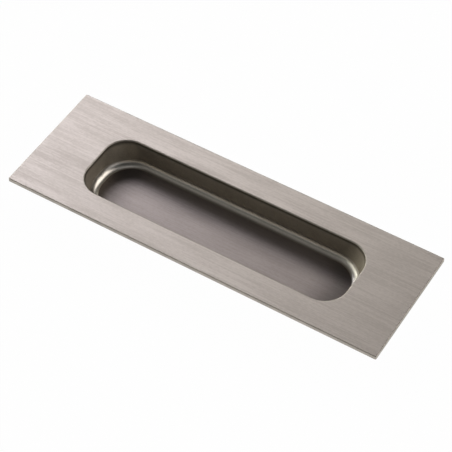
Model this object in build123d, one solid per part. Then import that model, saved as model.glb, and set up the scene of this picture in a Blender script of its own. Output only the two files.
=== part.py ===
from build123d import *
import os

# Flush pull: a flat face plate with a finger recess, cast as one piece with its cup.
# Millimetres. The plate's back lies on z = 0, the face looks along +Z and the length runs along X.

# Face plate
plate_length = 152.0
plate_width = 50.0
plate_thickness = 1.5
plate_corner_radius = 0.5
plate_edge_rounding = 0.3

# Finger recess, with its length and width taken between the walls at the face
recess_length = 108.0
recess_width = 29.0
recess_corner_radius = 9.0
recess_depth = 10.8
rim_rounding = 0.4
wall_lean = 0.2
floor_end_straight = 0.6
floor_rounding = 2.8

# Cup that stands behind the plate
cup_wall = 1.5
cup_floor = 1.5
cup_root_rounding = 1.0

# Levels
face_z = plate_thickness
floor_z = face_z - recess_depth
cup_bottom_z = floor_z - cup_floor

# The walls lean in on the way down, and the floor's ends are rounder than the mouth's
floor_length = recess_length - 2 * wall_lean
floor_width = recess_width - 2 * wall_lean
floor_corner_radius = (floor_width - floor_end_straight) / 2

# Share of the recess depth that lies within the plate
plate_share = plate_thickness / recess_depth


def rounded_outline(length, width, corner_radius, height):
    """Rounded rectangle, centred, at a height above the plate's back."""
    return Plane.XY.offset(height) * RectangleRounded(length, width, corner_radius)


def between(at_face, at_floor, share):
    """Size of the recess at a share of its depth below the face."""
    return at_face + (at_floor - at_face) * share


def wall_between(upper, lower):
    """Flat wall under a straight edge, or a ruled corner wall under an arc."""
    if upper.geom_type == GeomType.LINE:
        return Face(Wire.make_polygon([upper @ 0, upper @ 1, lower @ 1, lower @ 0]))
    return Face.make_surface_from_curves(upper, lower)


def leaning_block(top, bottom):
    """Solid between two rounded outlines whose corner radius changes on the way down."""
    walls = [wall_between(upper, lower) for upper, lower in zip(top.edges(), bottom.edges())]
    return Solid(Shell([top.face(), bottom.face(), *walls]))


def round_bottom(block, radius):
    """Block with the edge of its lowest face rounded."""
    return fillet(block.faces().sort_by(Axis.Z)[0].edges(), radius)


def face_plate():
    """Plate with eased corners and a softened face edge."""
    plate = extrude(RectangleRounded(plate_length, plate_width, plate_corner_radius), plate_thickness)
    return fillet(plate.faces().sort_by(Axis.Z)[-1].edges(), plate_edge_rounding)


def recess_space():
    """Hollow of the recess: leaning walls that blend into the flat floor."""
    mouth = rounded_outline(recess_length, recess_width, recess_corner_radius, face_z)
    floor = rounded_outline(floor_length, floor_width, floor_corner_radius, floor_z)
    return round_bottom(leaning_block(mouth, floor), floor_rounding)


def cup_body():
    """Outside of the cup, one wall thickness away from the recess."""
    root = rounded_outline(
        between(recess_length, floor_length, plate_share) + 2 * cup_wall,
        between(recess_width, floor_width, plate_share) + 2 * cup_wall,
        between(recess_corner_radius, floor_corner_radius, plate_share) + cup_wall,
        0,
    )
    bottom = rounded_outline(
        floor_length + 2 * cup_wall,
        floor_width + 2 * cup_wall,
        floor_corner_radius + cup_wall,
        cup_bottom_z,
    )
    return round_bottom(leaning_block(root, bottom), floor_rounding + cup_floor)


def plate_back(casting):
    """Flat ring of the plate's back around the cup."""
    flats = casting.faces().filter_by(Plane.XY)
    return flats.sort_by(lambda face: abs(face.center().Z))[0]


def flush_pull():
    """Whole casting, with a root fillet behind the plate and a rounded rim at the recess."""
    casting = face_plate() + cup_body()
    casting = fillet(plate_back(casting).inner_wires()[0].edges(), cup_root_rounding)
    casting = casting - recess_space()
    face = casting.faces().sort_by(Axis.Z)[-1]
    return fillet(face.inner_wires()[0].edges(), rim_rounding)


os.makedirs("parts", exist_ok=True)
export_step(flush_pull(), "parts/flush_pull.step")
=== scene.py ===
"""Flush pull in brushed nickel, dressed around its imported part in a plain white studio."""

import logging
import math
from dataclasses import dataclass, fields
from enum import Enum

import bpy
from mathutils import Matrix, Vector


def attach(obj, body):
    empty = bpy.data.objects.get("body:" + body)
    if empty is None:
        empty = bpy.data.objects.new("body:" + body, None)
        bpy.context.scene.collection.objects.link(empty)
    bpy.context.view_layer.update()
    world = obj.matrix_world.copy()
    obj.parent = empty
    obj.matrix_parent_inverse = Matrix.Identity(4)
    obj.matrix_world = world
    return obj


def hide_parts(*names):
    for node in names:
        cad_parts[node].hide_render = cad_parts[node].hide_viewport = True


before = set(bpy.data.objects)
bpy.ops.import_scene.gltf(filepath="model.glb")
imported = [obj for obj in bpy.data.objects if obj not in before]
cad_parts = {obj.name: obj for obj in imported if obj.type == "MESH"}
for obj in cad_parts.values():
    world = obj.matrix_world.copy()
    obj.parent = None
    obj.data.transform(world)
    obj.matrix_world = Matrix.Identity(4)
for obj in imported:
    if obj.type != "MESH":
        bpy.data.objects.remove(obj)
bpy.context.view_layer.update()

LOG = logging.getLogger("flush_pull")
MM = 0.001
QUARTER_TURN = math.pi / 2

# Camera and the picture that it fills
IMAGE_PIXELS = 452
SENSOR_MM = 36.0
CLIP_START_MM = 10.0

# Recess sizes that the skin and its finishes share, in millimetres
RECESS_LENGTH = 108.0
RECESS_WIDTH = 29.0
WALL_LEAN = 0.2

# Columns, rows and joins of the skin
CORNERS = 4
CORNER_STEPS = 20
STRETCH_STEPS = 14
WELD_MM = 0.002
SHARP_ANGLE_DEG = 40.0

# Grain of the finishes
NOISE_MIDDLE = 0.5
BUMP_STRENGTH = 0.5

Colour = tuple[float, float, float]


class Zone(Enum):
    """Stretch of the casting's skin, with the name of the finish that it wears."""

    FACE = "brushed_face"
    FLOOR = "brushed_floor"
    WALL = "satin_wall"
    BLEND = "satin_blend"
    EDGE = "satin_edge"
    BACK = "plated_back"


@dataclass(frozen=True)
class Field:
    """A node socket that can be used in plain arithmetic."""

    tree: "FieldTree"
    socket: bpy.types.NodeSocket

    def __add__(self, other: "Value") -> "Field":
        """Sum of two fields."""
        return self.tree.math("ADD", self, other)

    def __sub__(self, other: "Value") -> "Field":
        """Difference of two fields."""
        return self.tree.math("SUBTRACT", self, other)

    def __rsub__(self, other: float) -> "Field":
        """Difference of a number and a field."""
        return self.tree.math("SUBTRACT", other, self)

    def __mul__(self, other: "Value") -> "Field":
        """Product of two fields."""
        return self.tree.math("MULTIPLY", self, other)

    def __truediv__(self, other: "Value") -> "Field":
        """Quotient of two fields."""
        return self.tree.math("DIVIDE", self, other)

    def __neg__(self) -> "Field":
        """Field with its sign turned."""
        return self * -1.0


Value = Field | float


class FieldTree:
    """Writes nodes into a tree with short calls."""

    def __init__(self, tree: bpy.types.NodeTree) -> None:
        """Wraps a node tree.

        Args:
            tree: The tree that the nodes go into.
        """
        self.tree = tree

    def node(self, kind: str, **settings: object) -> bpy.types.Node:
        """Adds a node.

        Args:
            kind: The node's type name.
            settings: Properties to set on it.

        Returns:
            The new node.
        """
        made = self.tree.nodes.new(kind)
        for name, value in settings.items():
            setattr(made, name, value)
        return made

    def feed(self, target: bpy.types.NodeSocket, value: object) -> None:
        """Links a field to a socket, or sets the socket's own value.

        Args:
            target: The input socket.
            value: A field, or a constant of the socket's kind.
        """
        if isinstance(value, Field):
            self.tree.links.new(value.socket, target)
        else:
            target.default_value = value

    def wrap(self, socket: bpy.types.NodeSocket) -> Field:
        """Field of an output socket."""
        return Field(self, socket)

    def combine(self, made: bpy.types.Node, *values: Value) -> Field:
        """Feeds a node's inputs in order.

        Args:
            made: The node.
            values: What goes into its inputs.

        Returns:
            The node's first output.
        """
        for target, value in zip(made.inputs, values):
            self.feed(target, value)
        return self.wrap(made.outputs[0])

    def constant(self, value: float) -> Field:
        """Field with one value everywhere."""
        made = self.node("ShaderNodeValue")
        made.outputs[0].default_value = value
        return self.wrap(made.outputs[0])

    def math(self, operation: str, *values: Value) -> Field:
        """Result of a Math node on one, two or three operands."""
        return self.combine(self.node("ShaderNodeMath", operation=operation), *values)

    def vector_sum(self, first: Field, second: Field) -> Field:
        """Sum of two vectors."""
        return self.combine(self.node("ShaderNodeVectorMath", operation="ADD"), first, second)

    def vector(self, x: Value, y: Value, z: Value) -> Field:
        """Vector of three components."""
        return self.combine(self.node("ShaderNodeCombineXYZ"), x, y, z)

    def split(self, vector: Field) -> tuple[Field, Field, Field]:
        """Splits a vector.

        Args:
            vector: The vector to split.

        Returns:
            Its three components.
        """
        made = self.node("ShaderNodeSeparateXYZ")
        self.feed(made.inputs[0], vector)
        x, y, z = (self.wrap(out) for out in made.outputs)
        return x, y, z

    def place(self, kind: str) -> tuple[Field, Field, Field]:
        """Coordinates of the shaded point, of the Texture Coordinate node's kind."""
        return self.split(self.wrap(self.node("ShaderNodeTexCoord").outputs[kind]))

    def blend(self, start: Value, end: Value, share: Value) -> Field:
        """Straight blend between two fields.

        Args:
            start: Value at share 0.
            end: Value at share 1.
            share: How far along.

        Returns:
            The blended field.
        """
        return self.math("MULTIPLY_ADD", self.math("SUBTRACT", end, start), share, start)

    def ramp(self, value: Field, low: float, high: float, start: float = 0.0, end: float = 1.0) -> Field:
        """Smooth step between two values.

        Args:
            value: The field to map.
            low: Where the step starts.
            high: Where the step ends.
            start: Result below the step.
            end: Result above the step.

        Returns:
            The mapped field.
        """
        made = self.node("ShaderNodeMapRange", interpolation_type="SMOOTHSTEP")
        settings = {"Value": value, "From Min": low, "From Max": high, "To Min": start, "To Max": end}
        for name, setting in settings.items():
            self.feed(made.inputs[name], setting)
        return self.wrap(made.outputs[0])


@dataclass(frozen=True)
class Ring:
    """Rounded rectangle around the casting's axis, as fields of a Geometry Nodes tree."""

    half_length: Field
    half_width: Field
    corner: Field
    height: Field


@dataclass(frozen=True)
class Spot:
    """Point of the skin, as fields."""

    x: Field
    y: Field
    z: Field


class SkinTree(FieldTree):
    """Geometry Nodes tree in which every stretch of the skin is one grid, laid out around the casting."""

    def __init__(self, name: str) -> None:
        """Starts the tree with the grid and the fields that place its columns.

        Args:
            name: The tree's name.
        """
        super().__init__(bpy.data.node_groups.new(name, "GeometryNodeTree"))
        self.tree.interface.new_socket("Geometry", in_out="OUTPUT", socket_type="NodeSocketGeometry")
        self.sizes = self.node("NodeGroupInput")
        columns_each = CORNER_STEPS + 1
        columns = CORNERS * columns_each
        self.grid = self.node("GeometryNodeMeshGrid")
        for socket, value in zip(self.grid.inputs, (float(columns), 1.0, columns + 1, STRETCH_STEPS + 1)):
            socket.default_value = value
        # The grid lies around its own middle, one unit for each column and one unit across
        along, across, _ = self.split(self.wrap(self.node("GeometryNodeInputPosition").outputs[0]))
        self.share = across + 0.5
        column = self.math("MODULO", self.math("ROUND", along + columns / 2), float(columns))
        quarter = self.math("FLOOR", (column + 0.5) / float(columns_each))
        step = column - quarter * float(columns_each)
        angle = (quarter + step / float(CORNER_STEPS)) * QUARTER_TURN
        self.normal_x = self.math("COSINE", angle)
        self.normal_y = self.math("SINE", angle)
        middle = (quarter + 0.5) * QUARTER_TURN
        self.side_x = self.math("SIGN", self.math("COSINE", middle))
        self.side_y = self.math("SIGN", self.math("SINE", middle))
        self.stretches: list[bpy.types.NodeSocket] = []

    def size(self, name: str) -> Field:
        """Adds a named size to the tree's inputs.

        Args:
            name: The input's name.

        Returns:
            Its field.
        """
        self.tree.interface.new_socket(name, in_out="INPUT", socket_type="NodeSocketFloat")
        return self.wrap(self.sizes.outputs[name])

    def on_ring(self, ring: Ring) -> Spot:
        """Point of a ring at each column.

        Args:
            ring: The ring.

        Returns:
            The point.
        """
        x = self.side_x * (ring.half_length - ring.corner) + self.normal_x * ring.corner
        y = self.side_y * (ring.half_width - ring.corner) + self.normal_y * ring.corner
        return Spot(x, y, ring.height)

    def out(self, base: Spot, distance: Field, height: Field) -> Spot:
        """Point at a distance from a base point along the outline's normal.

        Args:
            base: Point to start from.
            distance: Distance, outwards positive.
            height: The point's own height.

        Returns:
            The point.
        """
        return Spot(base.x + self.normal_x * distance, base.y + self.normal_y * distance, height)

    def between(self, start: Spot, end: Spot, share: Field) -> Spot:
        """Point on the straight line between two points.

        Args:
            start: Point at share 0.
            end: Point at share 1.
            share: How far along.

        Returns:
            The point.
        """
        pairs = ((start.x, end.x), (start.y, end.y), (start.z, end.z))
        return Spot(*(self.blend(first, second, share) for first, second in pairs))

    def eased(self) -> Field:
        """Share with rows gathered at both ends, so that flats stay flat in their shading."""
        return (1.0 - self.math("COSINE", self.share * math.pi)) / 2.0

    def add(self, spot: Spot, material: bpy.types.Material) -> None:
        """Adds one stretch of the skin.

        Args:
            spot: Where the grid's points go.
            material: The finish of the stretch.
        """
        moved = self.node("GeometryNodeSetPosition")
        self.tree.links.new(self.grid.outputs["Mesh"], moved.inputs["Geometry"])
        self.feed(moved.inputs["Position"], self.vector(spot.x, spot.y, spot.z))
        worn = self.node("GeometryNodeSetMaterial")
        self.tree.links.new(moved.outputs[0], worn.inputs["Geometry"])
        worn.inputs["Material"].default_value = material
        self.stretches.append(worn.outputs[0])

    def close(self) -> None:
        """Joins the stretches into one closed skin and ends the tree."""
        joined = self.node("GeometryNodeJoinGeometry")
        for stretch in self.stretches:
            self.tree.links.new(stretch, joined.inputs[0])
        outward = self.node("GeometryNodeFlipFaces")
        merged = self.node("GeometryNodeMergeByDistance")
        merged.inputs["Distance"].default_value = WELD_MM * MM
        smooth = self.node("GeometryNodeSetShadeSmooth", domain="FACE")
        turned = self.wrap(self.node("GeometryNodeInputMeshEdgeAngle").outputs["Unsigned Angle"])
        crisp = self.node("GeometryNodeSetShadeSmooth", domain="EDGE")
        sharp = self.math("GREATER_THAN", turned, math.radians(SHARP_ANGLE_DEG))
        self.feed(crisp.inputs["Selection"], sharp)
        crisp.inputs["Shade Smooth"].default_value = False
        real = self.node("GeometryNodeRealizeInstances")
        end = self.node("NodeGroupOutput")
        chain = (joined, outward, merged, smooth, crisp, real, end)
        for before, after in zip(chain, chain[1:]):
            self.tree.links.new(before.outputs[0], after.inputs[0])


class Well:
    """Leaning wall between two rings, rounded where it meets the flat above and the flat below."""

    def __init__(
        self, skin: SkinTree, upper: Ring, lower: Ring, top_rounding: Field, bottom_rounding: Field
    ) -> None:
        """Works out the wall's lean at every column of the skin.

        Args:
            skin: The tree that the fields belong to.
            upper: Ring where wall and upper flat would meet unrounded.
            lower: Ring where wall and lower flat would meet unrounded.
            top_rounding: Radius at the upper flat.
            bottom_rounding: Radius at the lower flat.
        """
        self.skin = skin
        self.upper = upper
        self.lower = lower
        self.top_rounding = top_rounding
        self.bottom_rounding = bottom_rounding
        self.top = skin.on_ring(upper)
        self.bottom = skin.on_ring(lower)
        inward = (self.top.x - self.bottom.x) * skin.normal_x + (self.top.y - self.bottom.y) * skin.normal_y
        lean = skin.math("ARCTANGENT", inward / (self.top.z - self.bottom.z))
        self.arc = QUARTER_TURN - lean
        self.reach = skin.math("TANGENT", self.arc / 2.0)
        self.tangent = skin.math("COSINE", lean) - self.reach
        self.rise = 1.0 - skin.math("SINE", lean)

    def bottom_flat(self, share: Field) -> Spot:
        """Lower flat, from its middle line at share 0 to the rounding at share 1.

        Args:
            share: How far out.

        Returns:
            The point.
        """
        skin = self.skin
        edge = skin.out(self.bottom, -(self.reach * self.bottom_rounding), self.bottom.z)
        middle = skin.side_x * (self.lower.half_length - self.lower.half_width)
        return Spot(skin.blend(middle, edge.x, share), edge.y * share, edge.z)

    def bottom_round(self, share: Field) -> Spot:
        """Rounding between the lower flat and the wall.

        Args:
            share: How far up from the flat.

        Returns:
            The point.
        """
        angle = self.arc * share - QUARTER_TURN
        distance = (self.skin.math("COSINE", angle) - self.reach) * self.bottom_rounding
        height = (self.skin.math("SINE", angle) + 1.0) * self.bottom_rounding + self.bottom.z
        return self.skin.out(self.bottom, distance, height)

    def wall(self, share: Field) -> Spot:
        """Straight part of the wall.

        Args:
            share: How far up.

        Returns:
            The point.
        """
        foot_z = self.bottom.z + self.rise * self.bottom_rounding
        foot = self.skin.out(self.bottom, self.tangent * self.bottom_rounding, foot_z)
        head_z = self.top.z - self.rise * self.top_rounding
        head = self.skin.out(self.top, -(self.tangent * self.top_rounding), head_z)
        return self.skin.between(foot, head, share)

    def top_round(self, share: Field) -> Spot:
        """Rounding between the wall and the upper flat.

        Args:
            share: How far up from the wall.

        Returns:
            The point.
        """
        angle = self.arc * (1.0 - share) + QUARTER_TURN
        distance = (self.skin.math("COSINE", angle) + self.reach) * self.top_rounding
        height = self.top.z + (self.skin.math("SINE", angle) - 1.0) * self.top_rounding
        return self.skin.out(self.top, distance, height)

    def top_edge(self) -> Spot:
        """Point where the upper rounding meets its flat."""
        return self.skin.out(self.top, self.reach * self.top_rounding, self.top.z)


@dataclass(frozen=True)
class Grain:
    """One layer of noise in a finish, drawn out along the length."""

    length_mm: float
    width_mm: float
    weight: float
    detail: float = 2.0


@dataclass(frozen=True)
class Fade:
    """Share of the tone that is kept, changing smoothly between two places. Millimetres."""

    start: float
    end: float
    kept_at_start: float
    kept_at_end: float

    def share(self, write: FieldTree, place: Field) -> Field:
        """Writes the share kept at a place, given in metres."""
        return write.ramp(place, self.start * MM, self.end * MM, self.kept_at_start, self.kept_at_end)


@dataclass(frozen=True)
class PaintedFloorShade:
    """Painted shade low in the recess: darker colour by distance from the walls in plan.

    Sizes are in millimetres. A larger end_reach carries it further in from the ends, and a smaller
    side_share weakens it along the sides.
    """

    fades: tuple[Fade, ...]
    end_reach: float = 1.0
    side_share: float = 1.0
    half_length: float = RECESS_LENGTH / 2 - WALL_LEAN
    half_width: float = RECESS_WIDTH / 2 - WALL_LEAN

    def share(self, write: FieldTree) -> Field:
        """Writes how much of the tone is kept.

        Args:
            write: The material's tree.

        Returns:
            The share, 1 where the finish keeps its tone.
        """
        x, y, _ = write.place("Object")
        straight = self.half_length - self.half_width * self.end_reach
        past_straight = write.math("MAXIMUM", write.math("ABSOLUTE", x) - straight * MM, 0.0)
        lengthways = past_straight / self.end_reach
        sideways = y * self.side_share
        off_middle = write.math("SQRT", lengthways * lengthways + sideways * sideways)
        from_wall = self.half_width * MM - off_middle
        kept = self.fades[0].share(write, from_wall)
        for fade in self.fades[1:]:
            kept = kept * fade.share(write, from_wall)
        return kept


@dataclass(frozen=True)
class PaintedRimShade:
    """Painted shade: dark line under the recess rim, where the rim shades the wall, by height above the
    plate's back.
    """

    fade: Fade

    def share(self, write: FieldTree) -> Field:
        """Writes how much of the tone is kept, 1 below the line."""
        height = write.place("Object")[2]
        return self.fade.share(write, height)


@dataclass(frozen=True)
class NickelFinish:
    """Nickel plating with a tone, sheen and grain; in the recess the tone also carries painted shade and a
    painted highlight.
    """

    light: Colour
    dark: Colour
    roughness: float
    roughness_swing: float
    grain: tuple[Grain, ...]
    contrast: float
    bump_mm: float
    anisotropy: float = 0.0
    # Painted shade that darkens the tone, if any
    dulling: PaintedFloorShade | PaintedRimShade | None = None

    def layers(self, write: FieldTree) -> Field:
        """Writes the noise layers that the finish is grained with.

        Args:
            write: The material's tree.

        Returns:
            The layers' weighted sum, around the middle of the noise.
        """
        x, y, z = write.place("Object")
        total: Value = 0.0
        for layer in self.grain:
            length = layer.length_mm * MM
            width = layer.width_mm * MM
            noise = write.node("ShaderNodeTexNoise")
            noise.inputs["Scale"].default_value = 1.0
            noise.inputs["Detail"].default_value = layer.detail
            write.feed(noise.inputs["Vector"], write.vector(x / length, y / width, z / width))
            total = write.math("MULTIPLY_ADD", write.wrap(noise.outputs[0]), layer.weight, total)
        return total

    def make(self, name: str) -> bpy.types.Material:
        """Builds the material.

        Args:
            name: The material's name.

        Returns:
            The new material.
        """
        material = bpy.data.materials.new(name)
        material.use_nodes = True
        shader = material.node_tree.nodes["Principled BSDF"]
        write = FieldTree(material.node_tree)
        lines = self.layers(write)
        tone = write.ramp(lines, NOISE_MIDDLE - self.contrast, NOISE_MIDDLE + self.contrast)
        parts = [write.blend(low, high, tone) for low, high in zip(self.dark, self.light)]
        # Painted shade: the tone is darkened where the recess lies in shade
        if self.dulling:
            kept = self.dulling.share(write)
            parts = [part * kept for part in parts]
        write.feed(shader.inputs["Base Color"], write.vector(*parts))
        shader.inputs["Metallic"].default_value = 1.0
        dull = self.roughness + self.roughness_swing
        sharp = self.roughness - self.roughness_swing
        write.feed(shader.inputs["Roughness"], write.blend(dull, sharp, tone))
        shader.inputs["Anisotropic"].default_value = self.anisotropy
        # Brushed along X, so that the sheen spreads along Y
        write.feed(shader.inputs["Tangent"], write.vector(0.0, 1.0, 0.0))
        bump = write.node("ShaderNodeBump")
        bump.inputs["Strength"].default_value = BUMP_STRENGTH
        bump.inputs["Distance"].default_value = self.bump_mm * MM
        write.feed(bump.inputs["Height"], lines)
        write.feed(shader.inputs["Normal"], write.wrap(bump.outputs[0]))
        return material


BRUSH_LINES = (
    Grain(length_mm=1.1, width_mm=0.45, weight=0.28),
    Grain(length_mm=30.0, width_mm=0.55, weight=0.36),
    Grain(length_mm=7.0, width_mm=0.14, weight=0.12),
    Grain(length_mm=20.0, width_mm=3.0, weight=0.24),
)
MOTTLE = (
    Grain(length_mm=5.0, width_mm=5.0, weight=0.5, detail=3.0),
    Grain(length_mm=0.5, width_mm=0.5, weight=0.5, detail=3.0),
)

FINISHES = {
    Zone.FACE: NickelFinish(
        light=(0.67, 0.61, 0.575),
        dark=(0.575, 0.52, 0.485),
        roughness=0.42,
        roughness_swing=0.03,
        grain=BRUSH_LINES,
        contrast=0.12,
        bump_mm=0.004,
        anisotropy=0.6,
    ),
    Zone.FLOOR: NickelFinish(
        # Painted shade: a darker copy of the face's brushed tone, for the shade inside the recess
        light=(0.41, 0.362, 0.355),
        dark=(0.358, 0.314, 0.305),
        roughness=0.38,
        roughness_swing=0.03,
        grain=BRUSH_LINES,
        contrast=0.14,
        bump_mm=0.004,
        anisotropy=0.6,
        # Painted shade: darker still towards the walls, reaching further in at the ends
        dulling=PaintedFloorShade(
            fades=(Fade(start=2.0, end=11.0, kept_at_start=0.45, kept_at_end=1.0),),
            end_reach=1.6,
            side_share=0.6,
        ),
    ),
    Zone.WALL: NickelFinish(
        # Painted shade: darker and warmer than the face's tone, for the shade and bounced light inside the
        # recess
        light=(0.47, 0.424, 0.35),
        dark=(0.405, 0.365, 0.301),
        roughness=0.57,
        roughness_swing=0.04,
        grain=MOTTLE,
        contrast=0.15,
        bump_mm=0.002,
        # Painted shade: dark line just under the rim
        dulling=PaintedRimShade(Fade(start=-0.6, end=0.7, kept_at_start=1.0, kept_at_end=0.4)),
    ),
    Zone.BLEND: NickelFinish(
        # Painted highlight: brighter than the face's tone, to lift the highlights on the floor's blend
        light=(0.86, 0.82, 0.75),
        dark=(0.785, 0.745, 0.68),
        roughness=0.31,
        roughness_swing=0.02,
        grain=MOTTLE,
        contrast=0.15,
        bump_mm=0.0003,
        # Painted shade: darker at the wall's foot and towards the floor, which narrows the highlight band
        dulling=PaintedFloorShade(
            fades=(
                Fade(start=0.0, end=0.7, kept_at_start=0.65, kept_at_end=1.0),
                Fade(start=1.0, end=2.6, kept_at_start=1.0, kept_at_end=0.5),
            ),
        ),
    ),
    Zone.EDGE: NickelFinish(
        light=(0.46, 0.42, 0.37),
        dark=(0.38, 0.35, 0.31),
        roughness=0.5,
        roughness_swing=0.05,
        grain=MOTTLE,
        contrast=0.15,
        bump_mm=0.002,
    ),
    Zone.BACK: NickelFinish(
        light=(0.60, 0.555, 0.51),
        dark=(0.53, 0.485, 0.44),
        roughness=0.4,
        roughness_swing=0.05,
        grain=MOTTLE,
        contrast=0.15,
        bump_mm=0.01,
    ),
}


def add_object(name: str, data: bpy.types.ID) -> bpy.types.Object:
    """Adds an object to the scene.

    Args:
        name: The object's name.
        data: Its mesh or camera.

    Returns:
        The object.
    """
    made = bpy.data.objects.new(name, data)
    bpy.context.scene.collection.objects.link(made)
    return made


def input_name(size_name: str) -> str:
    """Name of the tree's input for one of the casting's sizes."""
    return size_name.replace("_", " ").title()


@dataclass
class PullCasting:
    """Face plate, finger recess and cup as one closed skin. Sizes in millimetres."""

    plate_length: float = 152.0
    plate_width: float = 50.0
    plate_thickness: float = 1.5
    plate_corner: float = 0.5
    plate_edge_rounding: float = 0.3
    recess_length: float = RECESS_LENGTH
    recess_width: float = RECESS_WIDTH
    recess_corner: float = 9.0
    recess_depth: float = 10.8
    rim_rounding: float = 0.4
    wall_lean: float = WALL_LEAN
    floor_corner: float = 14.0
    floor_rounding: float = 2.8
    cup_wall: float = 1.5
    cup_floor: float = 1.5
    cup_root_rounding: float = 1.0

    @staticmethod
    def recess(skin: SkinTree, size: dict[str, Field]) -> Well:
        """Lays out the finger recess, from its mouth in the face down to its floor.

        Args:
            skin: The tree of the skin.
            size: The tree's sizes by name.

        Returns:
            The recess.
        """
        half_length = size["recess_length"] / 2.0
        half_width = size["recess_width"] / 2.0
        face = size["plate_thickness"]
        floor = face - size["recess_depth"]
        lean = size["wall_lean"]
        mouth = Ring(half_length, half_width, size["recess_corner"], face)
        foot = Ring(half_length - lean, half_width - lean, size["floor_corner"], floor)
        return Well(skin, mouth, foot, size["rim_rounding"], size["floor_rounding"])

    @staticmethod
    def cup(skin: SkinTree, size: dict[str, Field], recess: Well) -> Well:
        """Lays out the cup's outside, one wall thickness away from the recess.

        Args:
            skin: The tree of the skin.
            size: The tree's sizes by name.
            recess: The recess that the cup stands around.

        Returns:
            The cup.
        """
        mouth = recess.upper
        foot = recess.lower
        wall = size["cup_wall"]
        in_plate = size["plate_thickness"] / size["recess_depth"]
        root = Ring(
            skin.blend(mouth.half_length, foot.half_length, in_plate) + wall,
            skin.blend(mouth.half_width, foot.half_width, in_plate) + wall,
            skin.blend(mouth.corner, foot.corner, in_plate) + wall,
            skin.constant(0.0),
        )
        bottom = foot.height - size["cup_floor"]
        base = Ring(foot.half_length + wall, foot.half_width + wall, foot.corner + wall, bottom)
        base_rounding = size["floor_rounding"] + size["cup_floor"]
        return Well(skin, root, base, size["cup_root_rounding"], base_rounding)

    @staticmethod
    def plate_outline(skin: SkinTree, size: dict[str, Field], growth: Field, height: Field) -> Spot:
        """Lays out the plate's outline.

        Args:
            skin: The tree of the skin.
            size: The tree's sizes by name.
            growth: Amount that the outline is grown by.
            height: The outline's height.

        Returns:
            The point of the outline at each column.
        """
        half_length = size["plate_length"] / 2.0 + growth
        half_width = size["plate_width"] / 2.0 + growth
        return skin.on_ring(Ring(half_length, half_width, size["plate_corner"] + growth, height))

    def section(self, finishes: dict[Zone, bpy.types.Material]) -> SkinTree:
        """Writes the tree that lays out the skin, from the recess floor round to the cup's bottom.

        Args:
            finishes: The material of each zone.

        Returns:
            The finished tree.
        """
        skin = SkinTree("pull_casting_skin")
        size = {field.name: skin.size(input_name(field.name)) for field in fields(self)}
        recess = self.recess(skin, size)
        cup = self.cup(skin, size, recess)
        face = size["plate_thickness"]
        edge = size["plate_edge_rounding"]
        level = cup.upper.height
        share = skin.share
        eased = skin.eased()
        down = 1.0 - share
        turn = share * QUARTER_TURN
        swell = (skin.math("SINE", turn) - 1.0) * edge
        drop = (skin.math("COSINE", turn) - 1.0) * edge
        face_edge = self.plate_outline(skin, size, -edge, face)
        back_edge = self.plate_outline(skin, size, level, level)
        stretches = (
            (recess.bottom_flat(eased), Zone.FLOOR),
            (recess.bottom_round(share), Zone.BLEND),
            (recess.wall(eased), Zone.WALL),
            (recess.top_round(share), Zone.EDGE),
            (skin.between(recess.top_edge(), face_edge, eased), Zone.FACE),
            (self.plate_outline(skin, size, swell, face + drop), Zone.EDGE),
            (self.plate_outline(skin, size, level, (face - edge) * down), Zone.EDGE),
            (skin.between(back_edge, cup.top_edge(), eased), Zone.BACK),
            (cup.top_round(down), Zone.BACK),
            (cup.wall(down), Zone.BACK),
            (cup.bottom_round(down), Zone.BACK),
            (cup.bottom_flat(1.0 - eased), Zone.BACK),
        )
        for spot, zone in stretches:
            skin.add(spot, finishes[zone])
        skin.close()
        return skin

    @staticmethod
    def dress() -> dict[Zone, bpy.types.Material]:
        """Makes the material of each zone."""
        return {zone: finish.make(zone.value) for zone, finish in FINISHES.items()}

    def build(self) -> bpy.types.Object:
        """Makes the casting's mesh object.

        Returns:
            The object, with a plain mesh and no modifier.
        """
        skin = self.section(self.dress())
        piece = add_object("pull_casting", bpy.data.meshes.new("pull_casting"))
        modifier = piece.modifiers.new("skin", "NODES")
        modifier.node_group = skin.tree
        inputs = (item for item in skin.tree.interface.items_tree if item.in_out == "INPUT")
        sockets = {item.name: item.identifier for item in inputs}
        for field in fields(self):
            modifier[sockets[input_name(field.name)]] = getattr(self, field.name) * MM
        bpy.context.view_layer.update()
        graph = bpy.context.evaluated_depsgraph_get()
        mesh = bpy.data.meshes.new_from_object(piece.evaluated_get(graph), depsgraph=graph)
        piece.modifiers.remove(modifier)
        # Drops the empty material slot that the grids bring
        while None in mesh.materials[:]:
            mesh.materials.pop(index=mesh.materials[:].index(None))
        piece.data = mesh
        return piece


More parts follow.
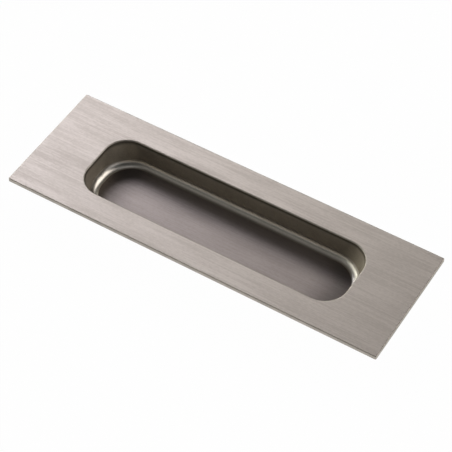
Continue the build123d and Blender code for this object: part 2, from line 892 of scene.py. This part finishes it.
@dataclass(frozen=True)
class PhotoCamera:
    """Camera at the photograph's viewing angle, aimed at the middle of the plate's face."""

    azimuth_deg: float = 31.919
    elevation_deg: float = 49.978
    roll_deg: float = -0.148
    distance_mm: float = 625.5
    right_mm: float = 1.333
    up_mm: float = -3.066
    focal_pixels: float = 1756.5
    aim_height_mm: float = 1.5

    def place(self) -> bpy.types.Object:
        """Makes the camera and sets it as the scene's own.

        Returns:
            The camera object.
        """
        azimuth, elevation, roll = map(math.radians, (self.azimuth_deg, self.elevation_deg, self.roll_deg))
        back = Vector((
            math.sin(azimuth) * math.cos(elevation),
            -math.cos(azimuth) * math.cos(elevation),
            math.sin(elevation),
        ))
        level = Vector((math.cos(azimuth), math.sin(azimuth), 0.0))
        upright = back.cross(level)
        right = level * math.cos(roll) + upright * math.sin(roll)
        up = upright * math.cos(roll) - level * math.sin(roll)
        aim = Vector((0.0, 0.0, self.aim_height_mm))
        spot = (aim + back * self.distance_mm + right * self.right_mm + up * self.up_mm) * MM
        lens = bpy.data.cameras.new("photo_camera")
        lens.sensor_width = SENSOR_MM
        lens.lens = self.focal_pixels / IMAGE_PIXELS * SENSOR_MM
        lens.clip_start = CLIP_START_MM * MM
        camera = add_object("photo_camera", lens)
        camera.matrix_world = Matrix.Translation(spot) @ Matrix((right, up, back)).transposed().to_4x4()
        bpy.context.scene.camera = camera
        return camera


@dataclass(frozen=True)
class SoftPanel:
    """Wide soft light in the studio's surroundings, placed by bearing and height in degrees."""

    bearing: float
    height: float
    half_width: float
    half_height: float
    side_softness: float
    edge_softness: float
    strength: float
    tint: Colour = (1.0, 1.0, 1.0)

    def light(self, write: FieldTree, bearing: Field, height: Field) -> Field:
        """Writes the panel's glow.

        Args:
            write: The world's tree.
            bearing: Angle around the object of each direction.
            height: Angle above the floor of each direction.

        Returns:
            The glow as a colour.
        """
        aside = write.math("WRAP", bearing - math.radians(self.bearing), -math.pi, math.pi)
        above = height - math.radians(self.height)
        glow = self.fade(write, aside, self.half_width, self.side_softness) * self.strength
        glow = glow * self.fade(write, above, self.half_height, self.edge_softness)
        return write.vector(*(glow * part for part in self.tint))

    @staticmethod
    def fade(write: FieldTree, offset: Field, half: float, softness: float) -> Field:
        """Fall from full light inside the panel to none outside it.

        Args:
            write: The world's tree.
            offset: Angle from the panel's middle.
            half: Half of the panel's size, in degrees.
            softness: Half of the fall's width, in degrees.

        Returns:
            The share of light.
        """
        away = write.math("ABSOLUTE", offset)
        return write.ramp(away, math.radians(half - softness), math.radians(half + softness), 1.0, 0.0)


PANELS = (
    # Bright and low past the left end, for the right end of the recess
    SoftPanel(
        bearing=176.0, height=-14.0, half_width=44.0, half_height=26.0,
        side_softness=6.0, edge_softness=6.0, strength=4.4, tint=(1.0, 1.0, 0.9),
    ),
    # Weaker part above it
    SoftPanel(
        bearing=176.0, height=24.0, half_width=44.0, half_height=11.0,
        side_softness=6.0, edge_softness=9.0, strength=1.0, tint=(1.0, 1.0, 0.93),
    ),
    # Low fill behind the plate, for views from the front
    SoftPanel(
        bearing=92.0, height=14.0, half_width=16.0, half_height=8.0,
        side_softness=8.0, edge_softness=6.0, strength=0.6,
    ),
    # Low fill in front of the plate, for views from behind
    SoftPanel(
        bearing=290.0, height=12.0, half_width=60.0, half_height=12.0,
        side_softness=14.0, edge_softness=8.0, strength=0.4,
    ),
    # Fill overhead, wider than a full turn
    SoftPanel(
        bearing=0.0, height=90.0, half_width=200.0, half_height=12.0,
        side_softness=1.0, edge_softness=8.0, strength=0.3,
    ),
    # Main light on the face, strongest at its left end
    SoftPanel(
        bearing=140.0, height=38.2, half_width=17.0, half_height=9.0,
        side_softness=7.0, edge_softness=6.0, strength=3.8, tint=(0.995, 0.99, 1.05),
    ),
    # Weaker light on the face's right end
    SoftPanel(
        bearing=114.0, height=38.2, half_width=10.0, half_height=9.0,
        side_softness=7.0, edge_softness=6.0, strength=2.2, tint=(1.02, 1.0, 0.92),
    ),
    # Light past the back-right corner, for the left end of the floor's blend
    SoftPanel(
        bearing=43.0, height=35.0, half_width=24.0, half_height=25.0,
        side_softness=10.0, edge_softness=10.0, strength=1.75, tint=(1.04, 1.0, 0.95),
    ),
    # Low past the right end, for the left wall
    SoftPanel(
        bearing=8.0, height=14.0, half_width=26.0, half_height=8.0,
        side_softness=12.0, edge_softness=6.0, strength=0.8,
    ),
    # Faint and high past the front-left corner, for the blend along the back wall
    SoftPanel(
        bearing=215.0, height=57.0, half_width=40.0, half_height=9.0,
        side_softness=12.0, edge_softness=8.0, strength=0.16, tint=(1.0, 0.95, 0.86),
    ),
)


@dataclass(frozen=True)
class Studio:
    """Plain white floor and soft light."""

    floor_half_m: float = 6.0
    floor_height_mm: float = -10.8
    floor_tone: float = 0.9
    floor_whiteness: float = 0.985
    room_strength: float = 0.045
    panels: tuple[SoftPanel, ...] = PANELS

    def paint(self) -> bpy.types.Material:
        """Makes the floor's paint: white to the eye and in reflections, plain and pale to the light.

        Returns:
            The material.
        """
        material = bpy.data.materials.new("studio_floor")
        material.use_nodes = True
        material.node_tree.nodes.clear()
        links = material.node_tree.links
        write = FieldTree(material.node_tree)
        pale = write.node("ShaderNodeBsdfDiffuse")
        pale.inputs["Color"].default_value = (self.floor_tone, self.floor_tone, self.floor_tone, 1.0)
        white = write.node("ShaderNodeEmission")
        path = write.node("ShaderNodeLightPath")
        seen = write.wrap(path.outputs["Is Camera Ray"])
        for ray in ("Is Glossy Ray", "Is Transmission Ray"):
            seen = write.math("MAXIMUM", seen, write.wrap(path.outputs[ray]))
        mix = write.node("ShaderNodeMixShader")
        write.feed(mix.inputs[0], seen * self.floor_whiteness)
        links.new(pale.outputs[0], mix.inputs[1])
        links.new(white.outputs[0], mix.inputs[2])
        end = write.node("ShaderNodeOutputMaterial")
        links.new(mix.outputs[0], end.inputs["Surface"])
        return material

    def floor(self) -> bpy.types.Object:
        """Makes the pale floor, which keeps the object's shadow.

        Returns:
            The floor object.
        """
        half = self.floor_half_m
        height = self.floor_height_mm * MM
        outline = ((-half, -half), (half, -half), (half, half), (-half, half))
        mesh = bpy.data.meshes.new("studio_floor")
        mesh.from_pydata([(x, y, height) for x, y in outline], [], [(0, 1, 2, 3)])
        mesh.materials.append(self.paint())
        return add_object("studio_floor", mesh)

    def sweep(self) -> bpy.types.World:
        """Makes the soft light around the object: a dim room with a few wide panels.

        Returns:
            The world.
        """
        world = bpy.data.worlds.new("studio_sweep")
        world.use_nodes = True
        write = FieldTree(world.node_tree)
        x, y, z = write.place("Generated")
        bearing = write.math("ARCTAN2", y, x)
        height = write.math("ARCSINE", z)
        light = write.vector(self.room_strength, self.room_strength, self.room_strength)
        for panel in self.panels:
            light = write.vector_sum(light, panel.light(write, bearing, height))
        write.feed(world.node_tree.nodes["Background"].inputs["Color"], light)
        bpy.context.scene.world = world
        return world


def main() -> None:
    """Builds the pull, the studio and the camera in order."""
    logging.basicConfig(level=logging.INFO, format="%(name)s: %(message)s")
    bpy.context.scene.view_settings.view_transform = "Standard"
    casting = PullCasting().build()
    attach(casting, "root")
    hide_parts("flush_pull")
    LOG.info("%s: %d faces", casting.name, len(casting.data.polygons))
    studio = Studio()
    floor = studio.floor()
    LOG.info("%s: stage", floor.name)
    world = studio.sweep()
    LOG.info("%s: light", world.name)
    camera = PhotoCamera().place()
    LOG.info("%s: camera", camera.name)


if __name__ == "__main__":
    main()
